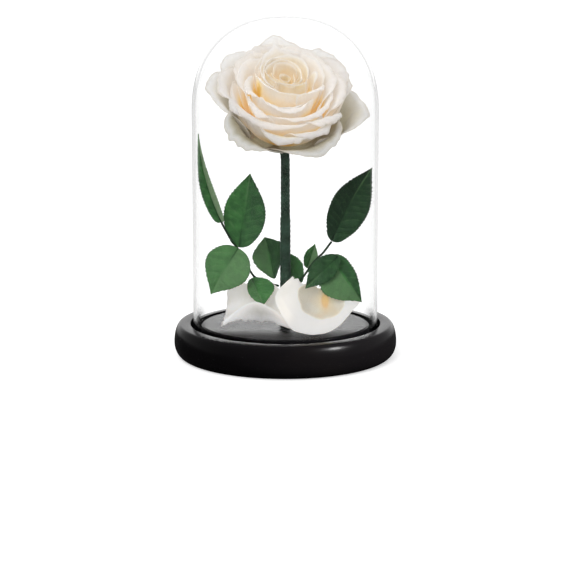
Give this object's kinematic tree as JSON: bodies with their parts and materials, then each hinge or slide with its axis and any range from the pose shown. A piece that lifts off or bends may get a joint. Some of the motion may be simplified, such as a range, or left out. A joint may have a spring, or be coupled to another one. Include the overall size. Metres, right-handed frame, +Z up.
{
  "type": "preserved rose in glass dome",
  "caption": "Cream preserved rose on a taped stem with green leaves and loose petals, under a tall clear glass dome on a round black base.",
  "frame": {"origin": "middle of the base's underside, on the surface it stands on", "axes": "+Z up through the dome, -Y towards the side that the flower faces, +X to the right seen from there"},
  "size_m": [0.145, 0.145, 0.2195],
  "materials": {
    "black_base": "turned and lacquered, soft sheen",
    "clear_glass": "smooth blown glass",
    "stem_tape": "wrapped floral tape, matte",
    "calyx": "dried plant tissue, matte",
    "cream_petal": "ivory cream, yellow-orange towards the claw, matte with a faint velvet sheen",
    "green_leaf": "preserved leaf, dull waxy sheen",
    "leaf_stalk": "preserved stalk, matte"
  },
  "bodies": {
    "root": {"base": "black_base", "glass_dome": "clear_glass", "stem": "stem_tape", "receptacle": "calyx", "petal_01": "cream_petal", "petal_02": "cream_petal", "petal_03": "cream_petal", "petal_04": "cream_petal", "petal_05": "cream_petal", "petal_06": "cream_petal", "petal_07": "cream_petal", "petal_08": "cream_petal", "petal_09": "cream_petal", "petal_10": "cream_petal", "petal_11": "cream_petal", "petal_12": "cream_petal", "petal_13": "cream_petal", "petal_14": "cream_petal", "petal_15": "cream_petal", "petal_16": "cream_petal", "petal_17": "cream_petal", "petal_18": "cream_petal", "petal_19": "cream_petal", "petal_20": "cream_petal", "petal_21": "cream_petal", "petal_22": "cream_petal", "petal_23": "cream_petal", "petal_24": "cream_petal", "petal_25": "cream_petal", "petal_26": "cream_petal", "petal_27": "cream_petal", "petal_28": "cream_petal", "petal_29": "cream_petal", "petal_30": "cream_petal", "petal_31": "cream_petal", "petal_32": "cream_petal", "petal_33": "cream_petal", "petal_34": "cream_petal", "petal_35": "cream_petal", "petal_36": "cream_petal", "petal_37": "cream_petal", "petal_38": "cream_petal", "petal_39": "cream_petal", "petal_40": "cream_petal", "leaf_left_tip": "green_leaf", "leaf_left_upper": "green_leaf", "leaf_left_lower": "green_leaf", "leaf_left_front": "green_leaf", "leaf_left_inner": "green_leaf", "leaf_right_inner": "green_leaf", "leaf_right_small": "green_leaf", "leaf_right_tip": "green_leaf", "leaf_right_front": "green_leaf", "leaf_right_outer": "green_leaf", "leaf_stalk_left": "leaf_stalk", "leaf_stalk_right": "leaf_stalk", "fallen_petal_left": "cream_petal", "fallen_petal_right": "cream_petal"}
  },
  "joints": []
}
